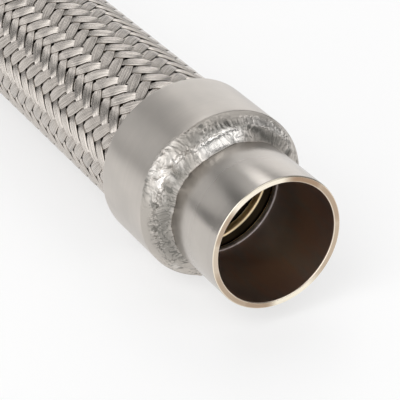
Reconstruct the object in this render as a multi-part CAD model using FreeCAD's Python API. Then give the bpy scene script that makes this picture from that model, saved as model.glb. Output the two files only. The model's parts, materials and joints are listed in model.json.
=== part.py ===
"""Braided flexible metal hose with a plain tube end, a collar and a weld at each end.

The hose lies on the floor along X. The origin is on the floor, under the middle of the hose, with Z up.
A stub tube, its weld, a collar and the seam of the core repeat at both ends. Between the two welding
planes run the corrugated core and, over it, the woven wire sleeve. All sizes are in millimetres.
"""

import FreeCAD
import Part
import math
import os

from FreeCAD import Vector

# Hose and tube ends
overall_length = 250.0
tube_outer_diameter = 42.4
tube_wall = 2.0
tube_end_length = 32.2

# Corrugated core
core_wall = 0.4
core_step = 0.2
convolution_height = 3.5
convolution_pitch = 7.4
core_flats = 13
seam_length = 1.0
seam_rise = 0.35
seam_depth = 1.5

# Woven wire sleeve: each band goes over two and under two
stripe_pairs = 12
braid_angle = 45.0
sleeve_clearance = 0.1
sleeve_wall = 0.7
band_relief = 0.9
gap_side = 1.3
gaps_per_stripe = 2

# Collars and their welds
collar_clearance = 0.1
collar_wall = 2.4
collar_length = 24.7
weld_clearance = 0.02
weld_reach = 9.3
weld_seat_depth = 0.05
weld_ripple = 0.35
weld_steps = 24

# Worked out from the driving dimensions
bands_each_way = 2 * stripe_pairs
stripe_angle = 2 * math.pi / bands_each_way
half_length = overall_length / 2
weld_plane = half_length - tube_end_length
collar_back = weld_plane - collar_length
weld_toe = weld_plane + weld_reach
tube_outer_radius = tube_outer_diameter / 2
tube_bore_radius = tube_outer_radius - tube_wall
root_radius = tube_bore_radius + core_step
crest_radius = root_radius + convolution_height
weld_step_angle = 2 * math.pi / weld_steps
weld_seat_radius = (tube_outer_radius - weld_seat_depth) * math.cos(weld_step_angle / 2)
sleeve_inner_radius = crest_radius + sleeve_clearance
valley_radius = sleeve_inner_radius + sleeve_wall
crown_radius = valley_radius + band_relief
stripe_width = 2 * valley_radius * math.tan(stripe_angle / 2)
band_spacing = stripe_width / math.tan(math.radians(braid_angle))
knot_step = band_spacing / 2
collar_bore_radius = crown_radius + collar_clearance
collar_outer_radius = collar_bore_radius / math.cos(stripe_angle / 2) + collar_wall
axis_height = collar_outer_radius

X_AXIS = Vector(1, 0, 0)
OVERCUT = 1.0


def around(x, radius, angle):
    """The point at a distance x along the hose, a radius from its axis and an angle from the top."""
    return Vector(x, radius * math.sin(angle), radius * math.cos(angle))


def turned(profile):
    """A solid of revolution about the hose's axis, from (x, radius) corners in order."""
    corners = [around(x, radius, 0) for x, radius in profile]
    face = Part.Face(Part.makePolygon(corners + corners[:1]))
    return face.revolve(Vector(0, 0, 0), X_AXIS, 360)


def solid_from(facets):
    """One solid from the flat facets that close it."""
    return Part.Solid(Part.Shell([Part.Face(Part.makePolygon(facet + facet[:1])) for facet in facets]))


def ring_of_flats(profile, sides):
    """A ring with flat sides about the hose's axis, from (x, radius at its corners) points in order."""
    sections = []
    for k in range(sides):
        angle = (k + 0.5) * 2 * math.pi / sides
        sections.append([around(x, radius, angle) for x, radius in profile])
    facets = []
    for here, after in zip(sections, sections[1:] + sections[:1]):
        for i in range(len(profile)):
            j = (i + 1) % len(profile)
            facets.append([here[i], here[j], after[j], after[i]])
    return solid_from(facets)


def prism(start, end, flat_radius, sides):
    """A plain prism along the hose, from the distance of its flats from the axis."""
    corner_radius = flat_radius / math.cos(math.pi / sides)
    corners = [around(start, corner_radius, (k + 0.5) * 2 * math.pi / sides) for k in range(sides)]
    return Part.Face(Part.makePolygon(corners + corners[:1])).extrude(X_AXIS * (end - start))


def tube_end():
    """The plain stub tube at the +X end, ground to narrow flats where the weld sits."""
    tube = turned([
        (weld_plane, tube_bore_radius),
        (half_length, tube_bore_radius),
        (half_length, tube_outer_radius),
        (weld_plane, tube_outer_radius),
    ])
    ground_start = weld_plane - OVERCUT
    ground = Part.makeCylinder(tube_outer_radius + OVERCUT, weld_toe - ground_start,
                               Vector(ground_start, 0, 0), X_AXIS)
    kept = prism(ground_start - OVERCUT, weld_toe + OVERCUT, weld_seat_radius, weld_steps)
    return tube.cut(ground.cut(kept))


def collar():
    """The collar, round outside and pressed onto the flats of the sleeve inside."""
    ring = Part.makeCylinder(collar_outer_radius, collar_length, Vector(collar_back, 0, 0), X_AXIS)
    hole = prism(collar_back - OVERCUT, weld_plane + OVERCUT, collar_bore_radius, bands_each_way)
    return ring.cut(hole)


def weld():
    """The two-pass weld that closes the step from the collar to the tube, with uneven lumps around it."""
    foot = (weld_seat_radius + weld_clearance) / math.cos(weld_step_angle / 2)
    rise = collar_outer_radius - foot
    # Share of the reach from the collar, share of the rise above the tube, share of the ripple
    passes = [(0.7, 0.44, 1.0), (0.44, 0.56, 0.5), (0.24, 0.9, 1.0)]
    sections = []
    for k in range(weld_steps):
        angle = (k + 0.5) * weld_step_angle
        ripple = weld_ripple * (math.sin(5 * angle) + math.cos(9 * angle + 1.0)) / 2
        section = [around(weld_plane, foot, angle), around(weld_toe, foot, angle)]
        for reach_share, rise_share, ripple_share in passes:
            radius = foot + rise * rise_share - ripple_share * (weld_ripple - ripple)
            section.append(around(weld_plane + weld_reach * reach_share, radius, angle))
        section.append(around(weld_plane, collar_outer_radius, angle))
        sections.append(section)
    facets = []
    for here, after in zip(sections, sections[1:] + sections[:1]):
        for i in range(len(here)):
            j = (i + 1) % len(here)
            facets.append([here[i], here[j], after[j]])
            facets.append([here[i], after[j], after[i]])
    return solid_from(facets)


def core_seam():
    """The bead between the stub tube's inner end and the core, standing a little into the bore."""
    end = weld_plane - seam_length
    outer_radius = tube_bore_radius + seam_depth
    return ring_of_flats([
        (weld_plane, tube_bore_radius),
        (weld_plane, outer_radius),
        (end, outer_radius),
        (end, root_radius),
        ((weld_plane + end) / 2, tube_bore_radius - seam_rise),
    ], core_flats)


def core_bellows():
    """The thin corrugated core: one pressed tube whose wall runs from root to crest and back."""
    half_core = weld_plane - seam_length
    convolutions = round(2 * half_core / convolution_pitch)
    half_pitch = half_core / convolutions
    slope = math.atan2(convolution_height - core_wall, half_pitch)
    wall = core_wall / math.cos(slope)
    outside = []
    for k in range(2 * convolutions + 1):
        outside.append((-half_core + k * half_pitch, crest_radius if k % 2 else root_radius + wall))
    inside = [(x, radius - wall) for x, radius in outside]
    return ring_of_flats(outside + inside[::-1], core_flats)


def woven_body():
    """The woven length as a closed body: a band rises and dives again in each stripe that it crosses.

    Half of the stripes lean one way and half the other, in turn. Knots half a band apart lie on the
    corners between the stripes. A float's four corners are knots, its crown is over its middle, and
    the floats of one stripe start half a band further on than those of the next.
    """
    last_knot = math.ceil(collar_back / knot_step) + 2
    corner_radius = valley_radius / math.cos(stripe_angle / 2)

    def knots(corner, indexes):
        angle = (corner % bands_each_way - 0.5) * stripe_angle
        return [around(index * knot_step, corner_radius, angle) for index in indexes]

    facets = []
    for stripe in range(bands_each_way):
        lean = 2 if stripe % 2 == 0 else -2
        first = -last_knot - min(lean, 0)
        first += (first - stripe) % 2
        left = first
        while left + 2 + max(lean, 0) <= last_knot:
            near = knots(stripe, range(left, left + 3))
            far = knots(stripe + 1, range(left + lean, left + lean + 3))
            crown = around((left + 1 + lean / 2) * knot_step, crown_radius, stripe * stripe_angle)
            facets += [[near[0], far[0], crown], [far[2], near[2], crown]]
            facets += [near + [crown], far + [crown]]
            left += 2
        before = knots(stripe, range(-last_knot, first + 1))
        before += knots(stripe + 1, range(first + lean, -last_knot - 1, -1))
        beyond = knots(stripe, range(left, last_knot + 1))
        beyond += knots(stripe + 1, range(last_knot, left + lean - 1, -1))
        facets += [before, beyond]
    for index in (-last_knot, last_knot):
        facets.append([knots(corner, [index])[0] for corner in range(bands_each_way)])
    return solid_from(facets)


def weave_gaps():
    """Small openings in the grooves between floats, a quarter of a stripe from where two stripes meet."""
    step = 2 * round(2 * collar_back / gaps_per_stripe / band_spacing)
    first = -step * (gaps_per_stripe - 1) // 2
    first -= first % 2
    gaps = []
    for stripe in range(bands_each_way):
        side = 1 if stripe % 2 == 0 else -1
        for n in range(gaps_per_stripe):
            groove = first + n * step + 0.5 * side
            gap = Part.makeBox(gap_side, gap_side, crown_radius, Vector(-gap_side / 2, -gap_side / 2, 0))
            gap.rotate(Vector(0, 0, 0), Vector(0, 0, 1), braid_angle)
            gap.translate(Vector(groove * knot_step, -side * stripe_width / 4, 0))
            gap.rotate(Vector(0, 0, 0), X_AXIS, -math.degrees(stripe * stripe_angle))
            gaps.append(gap)
    return gaps


def braid_sleeve():
    """The woven sleeve as one wall, with its pressed ends under the collars."""
    sleeve = woven_body()
    pressed_start = sleeve.BoundBox.XMax
    for start, end in ((-weld_plane, -pressed_start), (pressed_start, weld_plane)):
        sleeve = sleeve.fuse(prism(start, end, crown_radius, bands_each_way))
    hollow = prism(-weld_plane - OVERCUT, weld_plane + OVERCUT, sleeve_inner_radius, bands_each_way)
    return sleeve.cut([hollow] + weave_gaps())


def save(shape, name):
    """Lifts a piece from the axis to its place above the floor and writes it to its own file."""
    placed = shape.copy()
    placed.translate(Vector(0, 0, axis_height))
    solid = placed.Solids[0] if len(placed.Solids) == 1 else placed
    solid.exportStep(os.path.join("parts", name + ".step"))
    print(name, len(placed.Solids), "solid", round(placed.Volume, 1), "mm3", placed.isValid())


os.makedirs("parts", exist_ok=True)
end_pieces = {"tube_end": tube_end(), "collar": collar(), "weld": weld(), "core_seam": core_seam()}
for piece, right in end_pieces.items():
    save(right, piece + "_right")
    save(right.mirror(Vector(0, 0, 0), X_AXIS), piece + "_left")
save(core_bellows(), "core_bellows")
save(braid_sleeve(), "braid_sleeve")
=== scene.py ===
"""Dresses the braided flexible tube: stub tubes, collars, welds, corrugated core and woven wire sleeve."""

import json
import math
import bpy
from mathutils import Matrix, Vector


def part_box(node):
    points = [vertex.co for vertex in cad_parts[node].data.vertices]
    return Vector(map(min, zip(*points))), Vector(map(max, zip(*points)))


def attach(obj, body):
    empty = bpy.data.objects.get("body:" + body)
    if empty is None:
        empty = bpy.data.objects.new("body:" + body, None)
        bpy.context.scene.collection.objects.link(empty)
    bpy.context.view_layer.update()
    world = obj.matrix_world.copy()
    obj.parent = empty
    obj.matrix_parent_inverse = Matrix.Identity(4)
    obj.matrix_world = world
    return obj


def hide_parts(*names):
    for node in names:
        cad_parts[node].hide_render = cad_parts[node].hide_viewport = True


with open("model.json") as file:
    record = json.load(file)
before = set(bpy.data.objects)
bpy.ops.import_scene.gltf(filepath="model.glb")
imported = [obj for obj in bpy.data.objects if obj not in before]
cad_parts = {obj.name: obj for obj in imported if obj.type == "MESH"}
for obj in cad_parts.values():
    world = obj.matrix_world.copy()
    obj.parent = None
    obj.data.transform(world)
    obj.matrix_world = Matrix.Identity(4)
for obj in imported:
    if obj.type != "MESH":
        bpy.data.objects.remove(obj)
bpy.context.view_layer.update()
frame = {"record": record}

from types import SimpleNamespace

import bpy
import numpy as np

from mathutils import Vector

bl_info = {
    "name": "Braided Flexible Tube",
    "version": (1, 0, 0),
    "blender": (4, 5, 0),
    "location": "View3D > Sidebar > Flexible Tube",
    "description": "Models and finishes a braided metal tube with welded ends",
    "category": "Add Mesh",
}

MM = 0.001
SIDES = {"right": 1.0, "left": -1.0}


def half_width(node):
    """Half of a node's size across the tube."""
    low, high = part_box(node)
    return (high[1] - low[1]) / 2


def mount_radius(name):
    """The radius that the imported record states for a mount."""
    for mount in frame["record"]["mounts"]:
        if mount["name"] == name:
            return mount["dims"]["r_mm"] * MM
    raise RuntimeError("the record has no mount named " + name)


# Places along the tube and radii, at its right end
TUBE_LOW, TUBE_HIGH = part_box("tube_end_right")
AXIS_HEIGHT = (TUBE_LOW[2] + TUBE_HIGH[2]) / 2
HALF_LENGTH = TUBE_HIGH[0]
WELD_PLANE = TUBE_LOW[0]
COLLAR_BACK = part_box("collar_right")[0][0]
WELD_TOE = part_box("weld_right")[1][0]
CORE_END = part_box("core_bellows")[1][0]
TUBE_RADIUS = half_width("tube_end_right")
BORE_RADIUS = mount_radius("right_tube_bore")
COLLAR_RADIUS = half_width("collar_right")
CORE_RADIUS = half_width("core_bellows")


# The studio's walls: a grey level, and soft panels by azimuth, elevation, outer and inner half-angle in
# degrees, and strength
WALL_LEVEL = 0.18
PANELS = {
    "key": (-67, 27, 41, 19, 1.48),
    "high_key": (-80, 52, 18, 7, 0.90),
    "crest": (-160, 68, 16, 6, 1.30),
    "side": (-113, 5, 16, 6, 1.50),
    "back": (151, 10, 29, 22, 0.98),
    "high_back": (160, 50, 12, 4, 1.40),
    "far_back": (110, 30, 22, 8, 0.40),
    "overhead": (110, 60, 22, 8, 0.50),
    "top": (164, 63, 31, 8, 0.42),
    "strip": (-149, 20, 19, 11, 0.64),
    "high_strip": (-170, 40, 18, 6, 0.24),
    "low_back": (178, 18, 14, 5, 0.30),
    "front": (-15, 12, 40, 16, 0.57),
    "high_front": (20, 42, 24, 10, 1.05),
}

# Lamps by place and width in metres, and power in watts
LAMPS = {
    "key": ((0.5, -0.9, 1.3), 0.9, 6.0),
    "fill": ((-0.9, 0.8, 1.1), 1.2, 4.0),
}
SENSOR_WIDTH = 36.0
NEAREST_VIEW = 10 * MM
WHITE = (1.0, 1.0, 1.0)
FLOOR_GLOW = 0.6

# Cells of noise to a metre along, across and up
FINE_TURNING = (5200.0, 26.0, 26.0)
COARSE_TURNING = (900.0, 14.0, 14.0)
STAINS = (40.0, 60.0, 60.0)
SCORCH = (30.0, 110.0, 110.0)
PRESS_LINES = (1500.0, 20.0, 20.0)

# Shares of the steel's colour that are left where it is stained, and all over the stub tubes
STAINED = (0.83, 0.84, 0.845)
STUB_SHADE = (0.93, 0.93, 0.93)

# Tan arcs on the rim: angle from the top and half-width, in degrees, and strength of the tint
RIM_TINTS = {-27: (25, 1.0), -64: (36, 0.86), -110: (40, 0.74), 62: (22, 0.82), 92: (26, 0.56),
             128: (40, 0.82), 161: (21, 0.90)}

# Grid of a weld, and how far it laps over the collar, stops short of its toe and sinks into the metal below
WELD_STEPS = 960
WELD_ROWS = 60
WELD_SEED = 7
WELD_LAP = 0.55 * MM
LIP_LAP = 1.2 * MM
LAP_WANDER = 0.2 * MM
TOE_GAP = 0.9 * MM
TOE_WANDER = 0.7 * MM
TOE_RAGGED = 0.2 * MM
WELD_SINK = 0.2 * MM

# Spots on a weld: angle from the top and half-width in degrees, place and half-width across it from the
# collar at 0 to the tube at 1, and strength
CLEAN_SPOTS = ((-35.0, 22.0, 0.45, 0.25, 0.55), (5.0, 9.0, 0.20, 0.15, 0.45))
# The highlight spots lay the pale weld colour on as painted highlight
HIGHLIGHT_SPOTS = ((-33.0, 20.0, 0.52, 0.15, 0.50), (66.0, 10.0, 0.50, 0.18, 0.30))
DARK_SPOTS = ((104.0, 30.0, 0.55, 0.20, 0.30), (44.0, 13.0, 0.85, 0.15, 0.45),
              (-5.0, 14.0, 0.57, 0.10, 0.95), (68.0, 9.0, 0.18, 0.16, 0.30))

# The dark strip over the top of a weld: its place across at angles from the top
STRIP_ANGLES = (0.0, 22.0, 300.0, 332.0, 350.0, 360.0)
STRIP_PLACES = (0.48, 0.40, 0.86, 0.88, 0.60, 0.48)

# Points of the pressed core for each convolution and round it, and points round its seams
CONVOLUTION_POINTS = 10
CORE_STEPS = 80
SEAM_STEPS = 128

# Points of a band across each wire, and along it in crossings from the middle of each float, closer
# together where it dives
WIRE_POINTS = 3
FLOAT_ROWS = (-1.0, -0.86, -0.62, -0.28, 0.06, 0.4, 0.7, 0.9)
BRAID_SEED = 21
HIDDEN_END = 6 * MM
BAND_SWAY = 0.05

# Wires from the pattern of one band to that of the next
BAND_APART = 20


# Sizes and colours that a user would change

def length(name, description, default):
    """A length property in metres."""
    return bpy.props.FloatProperty(name=name, description=description, default=default, unit="LENGTH")


def colour(name, description, default):
    """A colour property without alpha."""
    return bpy.props.FloatVectorProperty(name=name, description=description, default=default,
                                         subtype="COLOR", size=3, min=0.0, max=1.0)


def share(name, description, default):
    """A property from 0 to 1."""
    return bpy.props.FloatProperty(name=name, description=description, default=default,
                                   subtype="FACTOR", min=0.0, max=1.0)


class TubeSizes(bpy.types.PropertyGroup):
    """Sizes of what the solids leave out."""
    rim_edge: length("Rim edge", "Radius of the broken edges of the rim", 0.45 * MM)
    collar_edge: length("Collar edge", "Radius of the edges of a collar", 0.35 * MM)
    seam_rise: length("Seam rise", "How far the seam stands into the bore", 0.60 * MM)
    seam_width: length("Seam width", "Width of the seam along the bore", 2.2 * MM)
    root_radius: length("Root radius", "Inner radius of the core", 19.3 * MM)
    convolution_pitch: length("Convolution pitch", "Distance from crest to crest", 7.4 * MM)
    core_wall: length("Core wall", "Thickness of the core", 0.4 * MM)
    wire: length("Wire", "Diameter of one wire of the sleeve", 0.4 * MM)
    band_width: length("Band width", "Width of one band of wires", 3.92 * MM)
    band_arch: length("Band arch", "How far the middle of a band stands above its edges", 0.08 * MM)
    band_spacing: length("Band spacing", "Distance from band to band along the tube", 6.2 * MM)
    sleeve_radius: length("Sleeve radius", "Mean radius of the woven sleeve", 23.72 * MM)
    wave: length("Wave", "How far a band rises and dives about the mean radius", 0.29 * MM)
    pinch: share("Pinch", "Share of its width that a band loses where it dives", 0.27)
    first_crossing: length("First crossing", "Distance from the rim to a known crossing of two bands",
                           64.1 * MM)
    crossing_angle: bpy.props.FloatProperty(
        name="Crossing angle", description="Angle from the top to that crossing",
        default=math.radians(39.75), unit="ROTATION")
    bands_each_way: bpy.props.IntProperty(
        name="Bands each way", description="Bands that wind one way round the sleeve", default=24, min=4)
    wires_per_band: bpy.props.IntProperty(
        name="Wires per band", description="Wires side by side in a band", default=8, min=1)


class TubeFinish(bpy.types.PropertyGroup):
    """Colours and gloss of the finishes."""
    steel: colour("Steel", "Satin steel of the stub tubes and collars", (0.62, 0.575, 0.53))
    turned: colour("Turned", "Faint darker lines round the stub tubes and collars", (0.50, 0.47, 0.43))
    stub_roughness: share("Stub roughness", "Roughness of the stub tubes", 0.15)
    stub_groove: length("Stub groove", "Depth of the turning grooves of the stub tubes", 0.011 * MM)
    collar_roughness: share("Collar roughness", "Roughness of the collars", 0.28)
    collar_groove: length("Collar groove", "Depth of the turning grooves of the collars", 0.004 * MM)
    rim: colour("Rim", "Cut face of the stub tubes", (1.0, 0.92, 0.77))
    # Tan laid in blotches and arcs on the cut face; its rounded edges are kept pale gold as painted
    # highlight
    rim_tint: colour("Rim tint", "Heat tint on parts of the cut face", (0.40, 0.28, 0.19))
    bore: colour("Bore", "Heat-tinted inside of the stub tubes", (0.50, 0.43, 0.38))
    bore_tint: colour("Bore tint", "Reddish streaks in the stub tubes", (0.58, 0.40, 0.32))
    weld: colour("Weld", "Grey metal of the welds", (0.63, 0.585, 0.535))
    # Pale weld colour: freshly laid metal in the pool and some patches, painted highlight on the lip, the
    # top and some spots
    fresh_and_highlight: colour("Fresh weld", "Bright places of the welds", (0.93, 0.90, 0.86))
    oxide: colour("Oxide", "Grey skin in the low places of the welds", (0.19, 0.183, 0.165))
    # Painted shade: the core is coloured near black for the shade deep in the bore and behind the sleeve
    core: colour("Core", "Heat-tinted inside of the core", (0.014, 0.010, 0.006))
    # Painted highlight: the pale gold laid on the innermost roots of the core
    root: colour("Root", "Bright roots of the core", (1.0, 0.83, 0.53))
    seam: colour("Seam", "Grey bead between stub and core", (0.66, 0.62, 0.61))
    seam_dark: colour("Seam dark", "Darker patches of that bead", (0.44, 0.41, 0.40))
    wire: colour("Wire", "Drawn wire of the sleeve", (0.66, 0.61, 0.56))
    # Painted shade: the dark colour laid into the valleys between the wires and where a band dives under
    # another
    crevice_shade: colour("Crevice", "Darkened metal between the wires", (0.10, 0.085, 0.07))


class StudioSettings(bpy.types.PropertyGroup):
    """Camera and floor."""
    lens: bpy.props.FloatProperty(name="Lens", description="Focal length on a sensor 36 mm wide",
                                  default=163.7, unit="CAMERA")
    back: length("Back", "How far the camera stands in front of the rim", 376.7 * MM)
    aside: length("Aside", "How far the camera stands beside the tube", 234.3 * MM)
    above: length("Above", "How far the camera stands above the tube's axis", 267.9 * MM)
    forward: bpy.props.FloatVectorProperty(name="Forward", description="The camera's line of sight",
                                           default=(-0.7588, 0.4212, -0.4969), subtype="DIRECTION")
    floor_size: length("Floor size", "Width of the floor", 6.0)
    floor: colour("Floor", "Pale floor", (0.96, 0.96, 0.96))


# Shader maths as Python expressions

class Value:
    """A number that varies over a surface; arithmetic on it adds Math nodes."""

    def __init__(self, graph, socket):
        self.graph = graph
        self.socket = socket

    def __add__(self, other):
        return self.graph.maths("ADD", self, other)

    def __sub__(self, other):
        return self.graph.maths("SUBTRACT", self, other)

    def __rsub__(self, other):
        return self.graph.maths("SUBTRACT", other, self)

    def __mul__(self, other):
        return self.graph.maths("MULTIPLY", self, other)

    def __truediv__(self, other):
        return self.graph.maths("DIVIDE", self, other)

    def __pow__(self, other):
        return self.graph.maths("POWER", self, other)

    def __abs__(self):
        return self.graph.maths("ABSOLUTE", self)

    __radd__ = __add__
    __rmul__ = __mul__

    def step(self, low, high):
        """0 below low and 1 above high, with a smooth rise between; low may be the larger."""
        ends = (low, high) if low < high else (high, low)
        rise = self.graph.node("ShaderNodeMapRange", {"interpolation_type": "SMOOTHSTEP"},
                               {"Value": self, "From Min": ends[0], "From Max": ends[1]})
        risen = Value(self.graph, rise.outputs["Result"])
        return risen if low < high else 1 - risen


class Graph:
    """The nodes of one material or of the world."""

    def __init__(self, owner):
        owner.use_nodes = True
        self.tree = owner.node_tree
        self.tree.nodes.clear()

    def node(self, kind, options=None, sockets=None):
        """Adds a node, sets its options, then fills its sockets with values or links."""
        made = self.tree.nodes.new(kind)
        for name, option in (options or {}).items():
            setattr(made, name, option)
        for name, given in (sockets or {}).items():
            socket = made.inputs[name]
            given = given.socket if isinstance(given, Value) else given
            if isinstance(given, bpy.types.NodeSocket):
                self.tree.links.new(given, socket)
            elif socket.type == "RGBA" and len(given) == 3:
                socket.default_value = (*given, 1.0)
            else:
                socket.default_value = given
        return made

    def maths(self, operation, *terms):
        """One Math node."""
        made = self.node("ShaderNodeMath", {"operation": operation}, dict(enumerate(terms)))
        return Value(self, made.outputs[0])

    def parts(self, vector):
        """The three numbers of a vector."""
        split = self.node("ShaderNodeSeparateXYZ", None, {0: vector})
        return [Value(self, split.outputs[k]) for k in range(3)]

    def place(self):
        """The object's coordinates, as a vector."""
        return self.node("ShaderNodeTexCoord").outputs["Object"]

    def pattern(self):
        """The three numbers of the mesh's pattern attribute."""
        return self.parts(self.node("ShaderNodeAttribute", {"attribute_name": "pattern"}).outputs["Vector"])

    def scaled(self, vector, factors):
        """The vector times a factor for each axis."""
        made = self.node("ShaderNodeVectorMath", {"operation": "MULTIPLY"}, {0: vector, 1: factors})
        return made.outputs[0]

    def noise(self, vector, scale, detail=2.0, roughness=0.5, distortion=0.0):
        """Smooth noise from 0 to 1."""
        made = self.node("ShaderNodeTexNoise", None, {
            "Vector": vector, "Scale": scale, "Detail": detail, "Roughness": roughness,
            "Distortion": distortion})
        return Value(self, made.outputs["Fac"])

    def blend(self, factor, first, second, mode="MIX"):
        """A colour between two, or one laid over the other."""
        made = self.node("ShaderNodeMix", {"data_type": "RGBA", "blend_type": mode},
                         {"Factor": factor, 6: first, 7: second})
        return made.outputs[2]

    def bump(self, height, distance, strength=1.0):
        """A surface direction from a height."""
        made = self.node("ShaderNodeBump", None,
                         {"Height": height, "Distance": distance, "Strength": strength})
        return made.outputs["Normal"]

    def metal(self, base, roughness, normal):
        """The finished metal surface."""
        made = self.node("ShaderNodeBsdfPrincipled", None, {
            "Base Color": base, "Metallic": 1.0, "Roughness": roughness, "Normal": normal})
        self.node("ShaderNodeOutputMaterial", None, {"Surface": made.outputs[0]})


def new_material(name):
    """An empty material and its graph."""
    material = bpy.data.materials.new(name)
    return material, Graph(material)


def tone(shade, level):
    """A colour times a level."""
    return tuple(level * c for c in shade)


# Surfaces as arrays of points

def around(along, radius, angle):
    """Points at a distance along the tube, a radius from its axis and an angle from the top towards -Y."""
    along, radius, angle = np.broadcast_arrays(along, radius, angle)
    return np.stack([along, -radius * np.sin(angle), AXIS_HEIGHT + radius * np.cos(angle)], axis=-1)


def skin_faces(rows, columns, close_rows):
    """Corner numbers of the squares of one grid, closed across its columns and, if asked, its rows."""
    row = np.arange(rows if close_rows else rows - 1)[:, None]
    column = np.arange(columns)[None, :]
    after_row = (row + 1) % rows
    after_column = (column + 1) % columns
    corners = [row * columns + column, row * columns + after_column,
               after_row * columns + after_column, after_row * columns + column]
    return np.stack(corners, axis=-1).reshape(-1, 4)


def surface(name, points, close_rows, flip=False, pattern=None, creases=()):
    """A mesh of one or more equal grids of points, shaped (grids, rows, columns, 3).

    Every grid is closed across its columns. It is closed along its rows too, as a ring is, or else
    its first and last rows are closed with a flat cap. The columns named as creases keep a sharp edge.
    """
    grids, rows, columns = points.shape[:3]
    squares = skin_faces(rows, columns, close_rows)
    starts = np.arange(grids)[:, None, None] * rows * columns
    squares = (squares[None] + starts).reshape(-1, 4)
    caps = np.empty((0, columns), dtype=int)
    if not close_rows:
        first = starts[:, :, 0] + np.arange(columns)[None, ::-1]
        last = starts[:, :, 0] + (rows - 1) * columns + np.arange(columns)[None, :]
        caps = np.concatenate([first, last])
    if flip:
        squares = squares[:, ::-1]
        caps = caps[:, ::-1]
    mesh = bpy.data.meshes.new(name)
    mesh.vertices.add(grids * rows * columns)
    mesh.vertices.foreach_set("co", points.astype(np.float32).ravel())
    corners = np.concatenate([squares.ravel(), caps.ravel()])
    sizes = np.concatenate([np.full(len(squares), 4), np.full(len(caps), columns)])
    mesh.loops.add(len(corners))
    mesh.loops.foreach_set("vertex_index", corners.astype(np.int32))
    mesh.polygons.add(len(sizes))
    mesh.polygons.foreach_set("loop_start", np.concatenate([[0], np.cumsum(sizes)[:-1]]).astype(np.int32))
    mesh.polygons.foreach_set("loop_total", sizes.astype(np.int32))
    mesh.polygons.foreach_set("use_smooth", np.ones(len(sizes), dtype=bool))
    if pattern is not None:
        layer = mesh.attributes.new("pattern", "FLOAT_VECTOR", "POINT")
        layer.data.foreach_set("vector", pattern.astype(np.float32).ravel())
    mesh.update(calc_edges=True)
    if len(creases):
        ends = np.empty(2 * len(mesh.edges), dtype=np.int32)
        mesh.edges.foreach_get("vertices", ends)
        ends = ends.reshape(-1, 2) % columns
        sharp = (ends[:, 0] == ends[:, 1]) & np.isin(ends[:, 0], creases)
        mesh.attributes.new("sharp_edge", "BOOLEAN", "EDGE").data.foreach_set("value", sharp)
    mesh.validate()
    return mesh


def add_piece(name, mesh, material, nodes):
    """Puts a finished mesh into the scene, riding with the tube in place of its nodes."""
    piece = bpy.data.objects.new(name, mesh)
    bpy.context.scene.collection.objects.link(piece)
    mesh.materials.append(material)
    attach(piece, "root")
    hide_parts(*nodes)


def rounded_corner(along, radius, size, first_angle, steps=6):
    """Points of a quarter circle of that size, turning on from the first angle."""
    turn = first_angle + np.linspace(0.0, np.pi / 2, steps)
    return np.stack([along + size * np.cos(turn), radius + size * np.sin(turn)], axis=-1)


def turned_ring(name, profile, side, steps=256):
    """A closed profile of (distance along, radius) points carried once round the tube's axis."""
    angle = np.linspace(0.0, 2 * np.pi, steps, endpoint=False)
    points = around(side * profile[:, 0][:, None], profile[:, 1][:, None], angle[None, :])
    return surface(name, points[None], True, flip=side > 0)


def drift(rng, turn, across, cells, rows):
    """Smooth random height from -1 to 1 on a lattice of cells that closes round the tube.

    The turn counts once round from 0 to 1, and across runs from 0 to 1 over the rows of the lattice.
    Heights at the lattice's corners are blended with a smooth step both ways.
    """
    heights = rng.uniform(-1.0, 1.0, (cells, rows + 2))
    u = np.mod(turn, 1.0) * cells
    v = np.clip(across, 0.0, 1.0) * rows
    i, j = np.floor(u).astype(int), np.floor(v).astype(int)
    fu, fv = u - i, v - j
    fu, fv = fu * fu * (3 - 2 * fu), fv * fv * (3 - 2 * fv)
    near = heights[i % cells, j] * (1 - fv) + heights[i % cells, j + 1] * fv
    far = heights[(i + 1) % cells, j] * (1 - fv) + heights[(i + 1) % cells, j + 1] * fv
    return near * (1 - fu) + far * fu


def ridges(rng, turn, across, cells, rows):
    """Random heights that rise to a sharp crest of 1 wherever the smooth ones pass through 0."""
    return 1 - 2 * np.abs(drift(rng, turn, across, cells, rows))


def bump_at(value, middle, width):
    """A smooth hump of height 1 about a middle."""
    return np.exp(-((value - middle) / width) ** 2)


# Materials

def off_axis(y, z):
    """Distance from the tube's axis."""
    return (y * y + (z - AXIS_HEIGHT) * (z - AXIS_HEIGHT)) ** 0.5


def satin_steel(name, finish, roughness, groove):
    """Turned steel: fine grooves of a depth round the tube, faint lines and soft stains.

    Gives the material and its graph, then base colour, roughness and surface direction for its metal.
    """
    material, graph = new_material(name)
    place = graph.place()
    grooves = graph.noise(graph.scaled(place, FINE_TURNING), 1.0, 3.0, 0.6)
    lines = graph.noise(graph.scaled(place, COARSE_TURNING), 1.0, 2.0)
    stains = graph.noise(graph.scaled(place, STAINS), 1.0, 3.0, 0.55)
    smoky = tuple(c * left for c, left in zip(finish.steel, STAINED))
    base = graph.blend(stains.step(0.25, 0.75), smoky, finish.steel)
    base = graph.blend(lines.step(0.3, 0.8) * 0.22, base, finish.turned)
    roughness = roughness + 0.08 * stains + 0.05 * grooves
    normal = graph.bump(grooves + 0.6 * lines, groove, 0.9)
    return material, graph, base, roughness, normal


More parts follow.
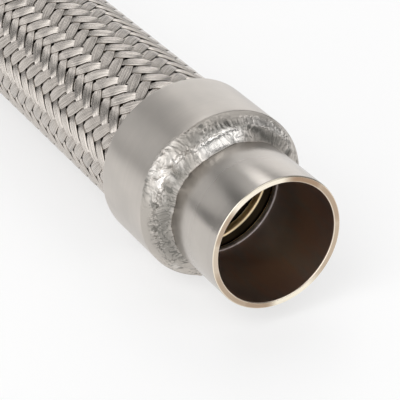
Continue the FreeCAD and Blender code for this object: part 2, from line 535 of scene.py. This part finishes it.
def rim_tan_share(graph, place, y, z, radius):
    """Share of tan on the cut face: faint blotches and tinted arcs, less at the edges, left as painted
    highlight.
    """
    tint = 0.30 * graph.noise(place, 60.0, 2.0, 0.6).step(0.48, 0.66)
    for angle, (reach, strength) in RIM_TINTS.items():
        turn = math.radians(angle)
        toward = ((z - AXIS_HEIGHT) * math.cos(turn) - y * math.sin(turn)) / radius
        arc = toward.step(math.cos(math.radians(reach)), math.cos(math.radians(0.4 * reach)))
        tint = graph.maths("MAXIMUM", tint, strength * arc)
    # Painted highlight: the tint fades out towards both rounded edges
    off_middle = abs(radius - (BORE_RADIUS + TUBE_RADIUS) / 2)
    return tint * off_middle.step(1.0 * MM, 0.5 * MM)


def collar_steel(finish):
    """Satin steel of the collars."""
    material, graph, base, roughness, normal = satin_steel(
        "collar_steel", finish, finish.collar_roughness, finish.collar_groove)
    graph.metal(base, roughness, normal)
    return material


def tube_steel(finish):
    """Satin steel of the stub tubes, duller by the weld, with a bright cut face and a dark bore."""
    material, graph, base, roughness, normal = satin_steel(
        "tube_steel", finish, finish.stub_roughness, finish.stub_groove)
    place = graph.place()
    x, y, z = graph.parts(place)
    radius = off_axis(y, z)
    from_middle = abs(x)
    bore = radius.step(BORE_RADIUS + 0.35 * MM, BORE_RADIUS + 0.1 * MM)
    face = from_middle.step(HALF_LENGTH - 0.3 * MM, HALF_LENGTH - 0.12 * MM)
    by_weld = from_middle.step(WELD_TOE + 17 * MM, WELD_TOE + 1 * MM)
    scorch = graph.noise(graph.scaled(place, SCORCH), 1.0, 4.0, 0.6)
    dark = graph.blend(scorch.step(0.40, 0.65), finish.bore, finish.bore_tint)
    cut = graph.blend(rim_tan_share(graph, place, y, z, radius), finish.rim, finish.rim_tint)
    base = graph.blend(1.0, base, STUB_SHADE, "MULTIPLY")
    base = graph.blend(bore, base, dark)
    base = graph.blend(face, base, cut)
    roughness = roughness + 0.12 * by_weld + 0.14 * bore * (1 - face)
    graph.metal(base, roughness, normal)
    return material


def weld_metal(finish):
    """Grey metal, oxide in its low places, and pale places, partly freshly laid metal and partly painted
    highlight.

    The pattern attribute holds height, paleness and the dark of skin and of painted shade, and the calm
    attribute is 1 on smooth shoulders.
    """
    material, graph = new_material("weld_metal")
    height, fresh_and_highlight, skin = graph.pattern()
    calm = Value(graph, graph.node("ShaderNodeAttribute", {"attribute_name": "calm"}).outputs["Fac"])
    place = graph.place()
    cloud = graph.noise(place, 300.0, 3.0, 0.6, 0.8)
    grain = graph.noise(place, 1500.0, 3.0, 0.65, 1.2)
    low = (height + 1.2 * (cloud - 0.5)).step(0.40, -0.45)
    rough = 1 - 0.85 * calm
    dull = graph.maths("MAXIMUM", low * 0.85, skin) * (1 - 0.8 * fresh_and_highlight)
    base = graph.blend(dull, finish.weld, finish.oxide)
    base = graph.blend(grain.step(0.55, 0.75) * 0.5 * rough, base, tone(finish.fresh_and_highlight, 0.75))
    base = graph.blend(fresh_and_highlight, base, finish.fresh_and_highlight)
    pits = (grain + 0.8 * cloud) * (1 - 0.7 * fresh_and_highlight) * rough
    graph.metal(base, 0.36 + 0.12 * cloud - 0.18 * fresh_and_highlight, graph.bump(pits, 0.16 * MM, 0.8))
    return material


def core_steel(finish):
    """Thin pressed steel painted near black as shade, with painted highlight on its roots and faint lines
    round it.
    """
    material, graph = new_material("core_steel")
    place = graph.place()
    x, y, z = graph.parts(place)
    lines = graph.noise(graph.scaled(place, PRESS_LINES), 1.0, 2.0)
    tint = graph.noise(place, 90.0, 3.0)
    # Painted highlight: the roots, at the core's smallest radius, are coloured pale gold
    root = off_axis(y, z).step(BORE_RADIUS + 1.10 * MM, BORE_RADIUS + 0.65 * MM)
    # Painted shade: near black with a little random change
    base = graph.blend(tint.step(0.3, 0.7), finish.core, tone(finish.core, 1.5))
    base = graph.blend(root, base, finish.root)
    graph.metal(base, 0.24 + 0.1 * tint, graph.bump(lines, 0.01 * MM, 0.6))
    return material


def seam_steel(finish):
    """The grey bead between stub and core."""
    material, graph = new_material("seam_steel")
    patches = graph.noise(graph.place(), 500.0, 3.0, 0.6)
    base = graph.blend(patches.step(0.3, 0.7), finish.seam_dark, finish.seam)
    graph.metal(base, 0.42 + 0.1 * patches, graph.bump(patches, 0.05 * MM, 0.4))
    return material


def wire_steel(finish):
    """Drawn wire with painted shade; the pattern holds millimetres along the band, wires across it and how
    lit.
    """
    material, graph = new_material("wire_steel")
    along, across, height = graph.pattern()
    wires = graph.node("ShaderNodeCombineXYZ", None, {0: along * 0.07, 1: across, 2: 0.0})
    streaks = graph.noise(wires.outputs[0], 1.0, 2.0)
    patches = graph.noise(graph.place(), 120.0, 2.0)
    base = graph.blend(streaks.step(0.35, 0.65), tone(finish.wire, 0.70), finish.wire)
    base = graph.blend(patches.step(0.35, 0.7) * 0.35, base, tone(finish.wire, 1.08))
    # Painted shade: where the lit value is low, between wires and under crossing bands, the colour goes
    # towards the crevice_shade colour
    base = graph.blend(height.step(0.30, 0.0) * 0.65, base, finish.crevice_shade)
    graph.metal(base, 0.15 + 0.12 * streaks, graph.bump(streaks, 0.02 * MM, 0.3))
    return material


# Pieces

class TUBE_OT_tube_ends(bpy.types.Operator):
    """Make both stub tubes with broken rim edges."""
    bl_idname = "tube.tube_ends"
    bl_label = "Tube Ends"

    def execute(self, context):
        material = tube_steel(context.scene.tube_finish)
        edge = context.scene.tube_sizes.rim_edge
        tip = HALF_LENGTH - edge
        middle = (WELD_PLANE + tip) / 2
        bore = np.array([[WELD_PLANE, BORE_RADIUS], [middle, BORE_RADIUS]])
        inner = rounded_corner(tip, BORE_RADIUS + edge, edge, -np.pi / 2)
        outer = rounded_corner(tip, TUBE_RADIUS - edge, edge, 0.0)
        wall = np.array([[middle, TUBE_RADIUS], [WELD_PLANE, TUBE_RADIUS]])
        profile = np.concatenate([bore, inner, outer, wall])
        for side, sign in SIDES.items():
            mesh = turned_ring("stub_tube_" + side, profile, sign)
            add_piece("stub_tube_" + side, mesh, material, ["tube_end_" + side])
        return {"FINISHED"}


class TUBE_OT_collars(bpy.types.Operator):
    """Make both collars with rounded edges."""
    bl_idname = "tube.collars"
    bl_label = "Collars"

    def execute(self, context):
        sizes = context.scene.tube_sizes
        material = collar_steel(context.scene.tube_finish)
        edge = sizes.collar_edge
        inside = sizes.sleeve_radius + sizes.wave + sizes.wire / 2 + 0.05 * MM
        low, high = COLLAR_BACK + 3 * MM, WELD_PLANE - 3 * MM
        front = rounded_corner(WELD_PLANE - edge, COLLAR_RADIUS - edge, edge, 0.0)
        belt = np.array([[high, COLLAR_RADIUS], [low, COLLAR_RADIUS]])
        back = rounded_corner(COLLAR_BACK + edge, COLLAR_RADIUS - edge, edge, np.pi / 2)
        lip = rounded_corner(COLLAR_BACK + edge, inside + edge, edge, np.pi)
        bore = np.array([[low, inside], [high, inside], [WELD_PLANE, inside]])
        profile = np.concatenate([front, belt, back, lip, bore])
        for side, sign in SIDES.items():
            mesh = turned_ring("collar_band_" + side, profile, sign)
            add_piece("collar_band_" + side, mesh, material, ["collar_" + side])
        return {"FINISHED"}


def arc_mask(angle, middle, reach):
    """A flat-topped hump of height 1 about an angle from the top, both in degrees, closed round the tube."""
    apart = np.abs(np.mod(np.degrees(angle) - middle + 180.0, 360.0) - 180.0)
    return np.exp(-(apart / reach) ** 4)


def within(value, limit, softness):
    """1 below a limit and 0 above it, with a soft change of that width."""
    return 1.0 / (1.0 + np.exp(np.clip((value - limit) / softness, -40.0, 40.0)))


def spots(angle, across, table):
    """The sum of a table's spots, each a hump round the tube times a hump across the weld."""
    return sum(strength * arc_mask(angle, middle, reach) * bump_at(across, place, width)
               for middle, reach, place, width, strength in table)


def weld_zones(rng, turn, across):
    """Masks from 0 to 1 of what is special on a weld, on its grid of turn by across.

    On one side the first pass swells into a lip over the collar, and beside it the second ends in a
    smooth pool. Below the lip, and on top, the first pass is a calm shoulder that runs on from the collar.
    """
    angle = 2 * np.pi * turn
    lip = arc_mask(angle, 52.0, 23.0)
    # Where the lip gets painted highlight
    lip_highlight = arc_mask(angle, 51.0, 14.0)
    # Where the groove beside the lip is lifted with painted light
    beside = arc_mask(angle, 57.0, 17.0) * bump_at(across, 0.58, 0.22)
    below = arc_mask(angle, 102.0, 32.0)
    on_top = arc_mask(angle, -26.0, 32.0)
    shore = 0.80 + 0.06 * drift(rng, turn, 0.0, 40, 1)
    pool = arc_mask(angle, 11.0, 18.0) * bump_at(across, shore, 0.24)
    shoulder = below * within(across, 0.38 + 0.05 * drift(rng, turn, 0.0, 60, 1), 0.02)
    top_limit = 0.32 + 0.06 * drift(rng, turn, 0.0, 50, 1)
    shoulder = np.maximum(shoulder, on_top * within(across, top_limit, 0.03))
    # A smooth patch between lip and pool, darkened below as painted shade
    hollow = arc_mask(angle, 30.0, 12.0) * bump_at(across, 0.36, 0.19)
    calm = np.clip(shoulder + 0.85 * hollow, 0.0, 1.0)
    return SimpleNamespace(angle=angle, lip=lip, lip_highlight=lip_highlight, beside=beside, below=below,
                           on_top=on_top, pool=pool, hollow=hollow, calm=calm)


def weld_layers(rng, turn, across):
    """Random layers of a weld's relief, about -1 to 1, and the humps of its two passes and their groove.

    The lattice that gives the flow lines, lumps and wrinkles is itself bent by a slower one, as poured
    metal is.
    """
    shift = 0.012 * drift(rng, turn, across, 26, 3)
    sway = 0.16 * drift(rng, turn, across, 34, 3)
    bent_turn, bent_across = turn + shift, across + sway
    flows = ridges(rng, bent_turn, bent_across, 60, 8)
    lumps = drift(rng, bent_turn, bent_across, 62, 5)
    wrinkles = ridges(rng, bent_turn + 0.3 * shift, bent_across, 130, 10)
    fine = drift(rng, bent_turn, bent_across, 300, 22)
    streaks = ridges(rng, turn + 0.3 * shift, across, 190, 2)
    creases = np.clip((ridges(rng, bent_turn, bent_across, 230, 14) - 0.62) / 0.30, 0.0, 1.0)
    first_pass = bump_at(across, 0.22 + 0.03 * drift(rng, turn, 0.0, 19, 1), 0.19)
    second_pass = bump_at(across, 0.75 + 0.03 * drift(rng, turn, 0.0, 23, 1), 0.17)
    groove = bump_at(across, 0.50 + 0.04 * drift(rng, turn, 0.0, 17, 1), 0.08)
    return SimpleNamespace(bent_turn=bent_turn, bent_across=bent_across, flows=flows, lumps=lumps,
                           wrinkles=wrinkles, fine=fine, streaks=streaks, creases=creases,
                           first_pass=first_pass, second_pass=second_pass, groove=groove)


def weld_form(rng, turn, across, zone, layer):
    """Distance along and radius of a weld.

    The radius is a curved slope from the collar's edge down to the tube, with a hump for each of the two
    passes and a groove between them. Flow lines, lumps and wrinkles lie on top, and all of it fades out
    at both ends.
    """
    lap = WELD_LAP + LIP_LAP * zone.lip + LAP_WANDER * drift(rng, turn, 0.0, 40, 1) * (1 - zone.below)
    gap = TOE_GAP - TOE_WANDER * drift(rng, turn, 0.0, 24, 1)
    gap = gap - TOE_RAGGED * drift(rng, turn, 0.0, 90, 1)
    along = WELD_PLANE - lap + (WELD_TOE - gap - WELD_PLANE + lap) * across

    smooth_arc = np.maximum(zone.below, 0.7 * zone.on_top)
    passes = (0.85 + 0.15 * zone.lip) * layer.first_pass * (1 - smooth_arc) + layer.second_pass
    passes = passes - 0.35 * layer.groove + 0.35 * zone.pool + 0.55 * zone.lip * bump_at(across, 0.13, 0.11)
    texture = 0.20 * layer.flows + 0.20 * layer.lumps + 0.36 * layer.wrinkles + 0.16 * layer.fine
    texture = (1 - 0.75 * zone.pool) * texture * (1 + 0.7 * zone.beside)
    texture = texture + 0.24 * zone.lip * layer.streaks * layer.first_pass
    texture = texture - 0.16 * layer.creases * zone.below
    texture = texture * (1 - 0.95 * zone.calm)

    rim = COLLAR_RADIUS - 0.06 * MM
    slope = across ** (0.85 + 0.70 * smooth_arc + 0.60 * zone.lip)
    fade = np.sin(np.pi * np.clip(across, 0.0, 1.0)) ** 0.8
    radius = rim + (TUBE_RADIUS - rim) * slope + fade * (passes + texture) * MM
    return along, np.maximum(radius, TUBE_RADIUS - 0.1 * MM)


def weld_colours(rng, turn, across, zone, layer):
    """The pattern of a weld: height, paleness of the metal, and dark skin and painted shade on it.

    The pool and some patches are freshly laid pale metal. The lip, a patch near the top and the highlight
    spots take the pale colour as painted highlight, and the groove beside the lip as painted light. The
    skin lies in a strip over the top, along the toe and in the creases below the lip, and in single spots;
    in the smooth hollow beside the lip the dark is painted shade.
    """
    angle, calm = zone.angle, zone.calm
    height = 0.45 * layer.flows + 0.4 * layer.lumps + 0.9 * layer.wrinkles + 0.4 * layer.fine
    height = height - 0.25 * layer.groove + 0.1 * layer.second_pass + spots(angle, across, CLEAN_SPOTS)
    height = height * (1 - calm) + 0.8 * calm

    patches = np.clip(2.5 * drift(rng, layer.bent_turn, layer.bent_across, 36, 4) - 1.2, 0.0, 1.0)
    # Painted highlight: pale colour on a patch near the top of the weld
    top_highlight = arc_mask(angle, -38.0, 26.0) * bump_at(across, 0.30, 0.25)
    fresh_and_highlight = 1.6 * zone.pool + (0.35 * patches + 0.45 * top_highlight) * (1 - calm)
    # Painted highlight along the streaks of the lip
    fresh_and_highlight = fresh_and_highlight + 0.45 * zone.lip_highlight * layer.first_pass * np.clip(layer.streaks + 0.2, 0.0, 1.0)
    # Painted light: pale colour on the lumps of the groove beside the lip, against its shade
    fresh_and_highlight = fresh_and_highlight + 0.8 * zone.beside * np.clip(1.5 * layer.lumps + 0.3, 0.0, 1.0)
    fresh_and_highlight = fresh_and_highlight + spots(angle, across, HIGHLIGHT_SPOTS)

    strip = np.interp(np.degrees(angle), STRIP_ANGLES, STRIP_PLACES) + 0.06 * drift(rng, turn, 0.0, 30, 1)
    toe_skin = 0.70 * bump_at(across, 0.86, 0.20) + 0.75 * layer.creases * (1 - calm)
    skin = arc_mask(angle, -9.0, 35.0) * bump_at(across, strip, 0.12)
    # The hollow's share of the dark is painted shade, not skin
    skin = skin + arc_mask(angle, 90.0, 44.0) * toe_skin + 0.40 * zone.hollow
    skin = skin + 0.26 * arc_mask(angle, 92.0, 30.0) * within(across, 0.42, 0.04)
    skin = skin + spots(angle, across, DARK_SPOTS)
    layers = np.broadcast_arrays(height, np.clip(fresh_and_highlight, 0.0, 1.0), np.clip(skin, 0.0, 1.0))
    return np.stack(layers, axis=-1)


def weld_underside():
    """(Distance along, radius) of the hidden side of a weld, from its toe back to the collar."""
    bottom = TUBE_RADIUS - WELD_SINK
    return np.array([[WELD_TOE - 1.5 * MM, bottom], [WELD_PLANE, bottom],
                     [WELD_PLANE - WELD_SINK, COLLAR_RADIUS - 1.0 * MM]])


class TUBE_OT_welds(bpy.types.Operator):
    """Make both lumpy two-pass welds."""
    bl_idname = "tube.welds"
    bl_label = "Welds"

    def execute(self, context):
        material = weld_metal(context.scene.tube_finish)
        turn = np.linspace(0.0, 1.0, WELD_STEPS, endpoint=False)[None, :]
        across = np.linspace(0.0, 1.0, WELD_ROWS)[:, None]
        under = weld_underside()
        hidden = np.ones((len(under), WELD_STEPS))
        for number, (side, sign) in enumerate(SIDES.items()):
            rng = np.random.default_rng(WELD_SEED + number)
            zone = weld_zones(rng, turn, across)
            layer = weld_layers(rng, turn, across)
            along, radius = weld_form(rng, turn, across, zone, layer)
            pattern = weld_colours(rng, turn, across, zone, layer)
            along = np.concatenate([along, under[:, :1] * hidden])
            radius = np.concatenate([radius, under[:, 1:] * hidden])
            pattern = np.concatenate([pattern, np.zeros(hidden.shape + (3,))])
            calm = np.concatenate([zone.calm, hidden])
            points = around(sign * along, radius, zone.angle)
            mesh = surface("weld_bead_" + side, points[None], True, flip=sign < 0, pattern=pattern)
            smooth = mesh.attributes.new("calm", "FLOAT", "POINT")
            smooth.data.foreach_set("value", calm.astype(np.float32).ravel())
            add_piece("weld_bead_" + side, mesh, material, ["weld_" + side])
        return {"FINISHED"}


def core_profile(sizes):
    """Closed (distance, radius) profile of the core's wall.

    The radius swings between root and crest as the sine of a clipped cosine, which gives rounded roots
    and crests with steep sides.
    """
    count = round(2 * CORE_END / sizes.convolution_pitch)
    along = np.linspace(-CORE_END, CORE_END, count * CONVOLUTION_POINTS + 1)
    phase = np.pi * (along + CORE_END) * count / (2 * CORE_END)
    height = CORE_RADIUS - sizes.core_wall - sizes.root_radius
    steep = np.sin(np.clip(1.5 * np.cos(2 * phase), -1.0, 1.0) * np.pi / 2)
    inner = sizes.root_radius + height * (1 - steep) / 2
    return np.concatenate([np.stack([along, inner], axis=-1),
                           np.stack([along, inner + sizes.core_wall], axis=-1)[::-1]])


def seam_profile(sizes):
    """Closed (distance, radius) profile of a seam: half an oval that stands into the bore, a flat back."""
    sink = 0.05 * MM
    middle = (WELD_PLANE + CORE_END) / 2 + 0.3 * MM
    half = (WELD_PLANE - CORE_END) / 2
    bead = np.linspace(0.0, np.pi, 16)
    rise = np.stack([middle + sizes.seam_width / 2 * np.cos(bead),
                     BORE_RADIUS + sink - (sizes.seam_rise + sink) * np.sin(bead)], axis=-1)
    depth = BORE_RADIUS + 1.2 * MM
    back = np.array([[middle - half, depth], [middle + half, depth]])
    return np.concatenate([rise, back])[::-1]


class TUBE_OT_core(bpy.types.Operator):
    """Make the corrugated core and its two seams."""
    bl_idname = "tube.core"
    bl_label = "Core"

    def execute(self, context):
        sizes, finish = context.scene.tube_sizes, context.scene.tube_finish
        mesh = turned_ring("bellows_core", core_profile(sizes), 1.0, steps=CORE_STEPS)
        add_piece("bellows_core", mesh, core_steel(finish), ["core_bellows"])
        material = seam_steel(finish)
        for side, sign in SIDES.items():
            mesh = turned_ring("neck_seam_" + side, seam_profile(sizes), sign, steps=SEAM_STEPS)
            add_piece("neck_seam_" + side, mesh, material, ["core_seam_" + side])
        return {"FINISHED"}


def band_height(phase):
    """1 over the crown of a float, -1 under a crossing band, with a quick dive between.

    The phase counts crossings. A band is over for two of them, about 0.5, and under for the next two.
    """
    wave = np.cos((phase - 0.5) * np.pi / 2)
    steep = np.clip(2.2 * wave, -1.0, 1.0)
    return 0.6 * np.sin(steep * np.pi / 2) + 0.4 * wave


def band_section(sizes):
    """Place across a band from -0.5 to 0.5, height over its mean and brightness, for each point across it.

    Round wires lie side by side over an arch. The last two points close the flat back.
    """
    wires = sizes.wires_per_band
    wire_points = np.linspace(0.0, wires, wires * WIRE_POINTS + 1)
    ridge = np.abs(np.sin(np.pi * wire_points)) ** 0.7
    lateral = wire_points / wires - 0.5
    crown = 1.0 - (2 * lateral) ** 2
    top = 0.5 * sizes.wire * ridge + sizes.band_arch * (crown - 1.0)
    lateral = np.concatenate([lateral, [0.5, -0.5]])
    top = np.concatenate([top, np.full(2, -sizes.band_arch - sizes.wire / 2)])
    bright = np.concatenate([ridge, np.zeros(2)])
    return lateral, top, bright


def band_family(sizes, direction, rng):
    """Points and pattern values of all bands that wind one way, shaped (bands, rows, columns, 3).

    A band keeps its number across and counts the bands that it crosses along. Twice the angle from
    the known crossing is the sum of both counts, and twice the distance is their difference. The band
    narrows where it dives between two others.
    """
    bands = sizes.bands_each_way
    pitch = 2 * np.pi * sizes.sleeve_radius / bands
    normal_pitch = pitch * sizes.band_spacing / math.hypot(pitch, sizes.band_spacing)
    number = np.arange(bands)[:, None, None].astype(float)

    ends = np.array([HALF_LENGTH - COLLAR_BACK - HIDDEN_END, HALF_LENGTH + COLLAR_BACK + HIDDEN_END])
    ends = np.sort(direction * 2 * (ends - sizes.first_crossing) / sizes.band_spacing)
    floats = math.ceil((ends[1] - ends[0]) / 2) + 1
    rows = (np.arange(floats)[:, None] * 2 + np.array(FLOAT_ROWS)[None, :]).ravel()[None, :, None]
    first = number + 2 * math.floor(ends[0] / 2) - 1
    along = first + rows + 0.5
    phase = number + along + 1.0

    lateral, top, bright = [column[None, None, :] for column in band_section(sizes)]
    settled = np.abs(np.cos((phase - 0.5) * np.pi / 2))
    narrowed = 1.0 - sizes.pinch * bump_at(settled, 0.0, 0.60)
    sway = BAND_SWAY * drift(rng, number / bands, (along - along.min()) / np.ptp(along), bands, 40)
    place = number + lateral * sizes.band_width / normal_pitch * narrowed + sway
    angle = sizes.crossing_angle + (np.pi / bands) * (place + along)
    distance = sizes.first_crossing + direction * (sizes.band_spacing / 2) * (along - place)
    height = direction * band_height(phase)
    radius = sizes.sleeve_radius + sizes.wave * height + top
    points = around(HALF_LENGTH - distance, radius, angle)

    # Painted shade: lower in the valleys between wires and where the band dives under a crossing one
    lit = bright * (0.45 + 0.55 * np.clip(height + 0.8, 0, 1))
    wires = number * BAND_APART + lateral * sizes.wires_per_band
    layers = [np.broadcast_to(layer, points.shape[:3]) for layer in (along * normal_pitch / MM, wires, lit)]
    return points, np.stack(layers, axis=-1)


class TUBE_OT_braid(bpy.types.Operator):
    """Weave the sleeve from bands of wires that go over two and under two."""
    bl_idname = "tube.braid"
    bl_label = "Braid"

    def execute(self, context):
        sizes = context.scene.tube_sizes
        material = wire_steel(context.scene.tube_finish)
        rng = np.random.default_rng(BRAID_SEED)
        half = sizes.bands_each_way // 2
        valleys = np.arange(sizes.wires_per_band + 1) * WIRE_POINTS
        creases = np.append(valleys, valleys[-1] + np.array([1, 2]))
        for direction, way in ((1.0, "one_way"), (-1.0, "other_way")):
            points, pattern = band_family(sizes, direction, rng)
            for part, chosen in enumerate((slice(0, half), slice(half, None))):
                name = "braid_" + way + "_" + str(part + 1)
                mesh = surface(name, points[chosen], False, flip=direction > 0, pattern=pattern[chosen],
                               creases=creases)
                add_piece(name, mesh, material, ["braid_sleeve"])
        return {"FINISHED"}


# Studio

def facing(towards):
    """The turn that points a camera or lamp, level, along a direction."""
    return Vector(towards).to_track_quat("-Z", "Y").to_euler()


def soft_panel(graph, heading, azimuth, elevation, reach, core):
    """1 within the core angle of a direction in the surroundings, fading to 0 at its reach; in degrees."""
    azimuth, elevation = math.radians(azimuth), math.radians(elevation)
    middle = (math.cos(elevation) * math.cos(azimuth), math.cos(elevation) * math.sin(azimuth),
              math.sin(elevation))
    near = graph.node("ShaderNodeVectorMath", {"operation": "DOT_PRODUCT"}, {0: heading, 1: middle})
    ends = math.cos(math.radians(reach)), math.cos(math.radians(core))
    return Value(graph, near.outputs["Value"]).step(*ends)


def floor_paint(shade):
    """A pale matt paint that shows part of its own white to the camera and in reflections."""
    material, graph = new_material("floor_paint")
    paint = graph.node("ShaderNodeBsdfDiffuse", None, {"Color": tuple(shade)})
    white = graph.node("ShaderNodeEmission", None, {"Color": WHITE, "Strength": 1.0})
    rays = graph.node("ShaderNodeLightPath")
    seen = Value(graph, rays.outputs["Is Camera Ray"])
    for ray in ("Is Glossy Ray", "Is Transmission Ray"):
        seen = graph.maths("MAXIMUM", seen, Value(graph, rays.outputs[ray]))
    mixed = graph.node("ShaderNodeMixShader", None, {
        0: FLOOR_GLOW * seen, 1: paint.outputs[0], 2: white.outputs[0]})
    graph.node("ShaderNodeOutputMaterial", None, {"Surface": mixed.outputs[0]})
    return material


class TUBE_OT_stage(bpy.types.Operator):
    """Set up the floor, the grey walls with their soft panels, the lamps and the camera."""
    bl_idname = "tube.stage"
    bl_label = "Stage"

    def execute(self, context):
        scene = context.scene
        studio = scene.tube_studio
        scene.view_settings.view_transform = "Standard"

        half = studio.floor_size / 2
        corners = [(-half, -half, 0), (half, -half, 0), (half, half, 0), (-half, half, 0)]
        mesh = bpy.data.meshes.new("floor")
        mesh.from_pydata(corners, [], [(0, 1, 2, 3)])
        mesh.materials.append(floor_paint(studio.floor))
        floor = bpy.data.objects.new("floor", mesh)
        scene.collection.objects.link(floor)

        world = bpy.data.worlds.new("surroundings")
        scene.world = world
        graph = Graph(world)
        heading = graph.node("ShaderNodeTexCoord").outputs["Generated"]
        level = WALL_LEVEL
        for azimuth, elevation, reach, core, strength in PANELS.values():
            level = level + strength * soft_panel(graph, heading, azimuth, elevation, reach, core)
        back = graph.node("ShaderNodeBackground", None, {"Color": WHITE, "Strength": level})
        graph.node("ShaderNodeOutputWorld", None, {"Surface": back.outputs[0]})

        for name, (place, size, power) in LAMPS.items():
            lamp = bpy.data.lights.new(name, "AREA")
            lamp.size = size
            lamp.energy = power
            holder = bpy.data.objects.new(name, lamp)
            holder.location = place
            holder.rotation_euler = facing(-Vector(place))
            holder.visible_glossy = False
            scene.collection.objects.link(holder)

        lens = bpy.data.cameras.new("camera")
        lens.lens = studio.lens
        lens.sensor_width = SENSOR_WIDTH
        lens.clip_start = NEAREST_VIEW
        camera = bpy.data.objects.new("camera", lens)
        camera.location = (HALF_LENGTH + studio.back, -studio.aside, AXIS_HEIGHT + studio.above)
        camera.rotation_euler = facing(studio.forward)
        scene.collection.objects.link(camera)
        scene.camera = camera
        return {"FINISHED"}


class TUBE_PT_panel(bpy.types.Panel):
    """Lists the steps in the sidebar."""
    bl_idname = "TUBE_PT_panel"
    bl_label = "Flexible Tube"
    bl_space_type = "VIEW_3D"
    bl_region_type = "UI"
    bl_category = "Flexible Tube"

    def draw(self, context):
        for operator in OPERATORS:
            self.layout.operator(operator.bl_idname)


OPERATORS = (TUBE_OT_stage, TUBE_OT_tube_ends, TUBE_OT_collars, TUBE_OT_welds, TUBE_OT_core, TUBE_OT_braid)
GROUPS = {"tube_sizes": TubeSizes, "tube_finish": TubeFinish, "tube_studio": StudioSettings}


def register():
    """Registers the classes and puts the settings on the scene."""
    for group in GROUPS.values():
        bpy.utils.register_class(group)
    for operator in OPERATORS:
        bpy.utils.register_class(operator)
    bpy.utils.register_class(TUBE_PT_panel)
    for name, group in GROUPS.items():
        setattr(bpy.types.Scene, name, bpy.props.PointerProperty(type=group))


def unregister():
    """Takes the settings and the classes away again."""
    for name in GROUPS:
        delattr(bpy.types.Scene, name)
    bpy.utils.unregister_class(TUBE_PT_panel)
    for operator in reversed(OPERATORS):
        bpy.utils.unregister_class(operator)
    for group in GROUPS.values():
        bpy.utils.unregister_class(group)


def main():
    """Builds the whole model."""
    register()
    bpy.ops.tube.stage()
    bpy.ops.tube.tube_ends()
    bpy.ops.tube.collars()
    bpy.ops.tube.welds()
    bpy.ops.tube.core()
    bpy.ops.tube.braid()


if __name__ == "__main__":
    main()
